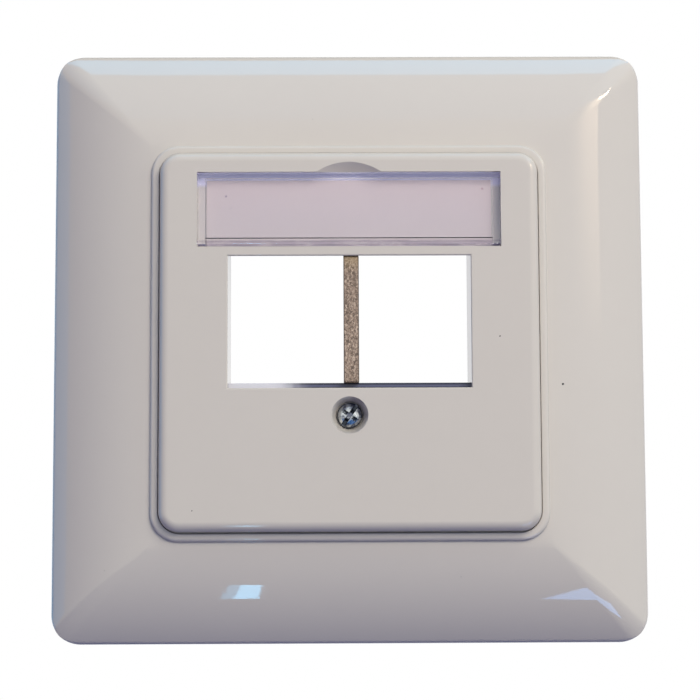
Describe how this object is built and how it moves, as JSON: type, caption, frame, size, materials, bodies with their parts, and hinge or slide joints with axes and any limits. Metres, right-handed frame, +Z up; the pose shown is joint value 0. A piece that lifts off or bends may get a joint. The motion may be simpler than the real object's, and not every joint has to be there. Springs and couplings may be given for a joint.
{
  "type": "keystone faceplate",
  "caption": "Square wall faceplate with a domed frame, two keystone openings side by side, a hinged clear label window and a central fixing screw.",
  "frame": {"origin": "centre of the wall plane that the outer frame sits on", "axes": "+Z up the wall, +X to the right as seen from the room, +Y into the wall: the face looks along -Y"},
  "size_m": [0.08, 0.011, 0.08],
  "materials": {
    "frame_plastic": "glossy cream-white moulding",
    "plate_plastic": "glossy cream-white moulding",
    "divider_board": "brown grained strip",
    "dark_steel": "dark glossy strip",
    "clear_plastic": "clear moulded window",
    "card": "plain lilac-white card",
    "zinc_steel": "zinc-plated steel",
    "washer_plastic": "natural plastic"
  },
  "bodies": {
    "housing": {"outer_frame": "frame_plastic", "centre_plate": "plate_plastic", "port_divider": "divider_board", "catch_strip": "dark_steel", "label_card": "card"},
    "window": {"label_cover": "clear_plastic"},
    "washer": {"screw_washer": "washer_plastic"},
    "screw": {"fixing_screw": "zinc_steel"}
  },
  "joints": [
    {"name": "window_hinge", "type": "hinge", "parent": "housing", "child": "window", "pos_m": [0, -0.0104, 0.013], "axis": [1, 0, 0], "range_deg": [0, 85]},
    {"name": "screw_back_out", "type": "slide", "parent": "housing", "child": "washer", "axis": [0, -1, 0], "range_m": [0, 0.0018]},
    {"name": "screw_turn", "type": "hinge", "parent": "washer", "child": "screw", "pos_m": [0, -0.0042, -0.00985], "axis": [0, 1, 0], "continuous": true}
  ]
}
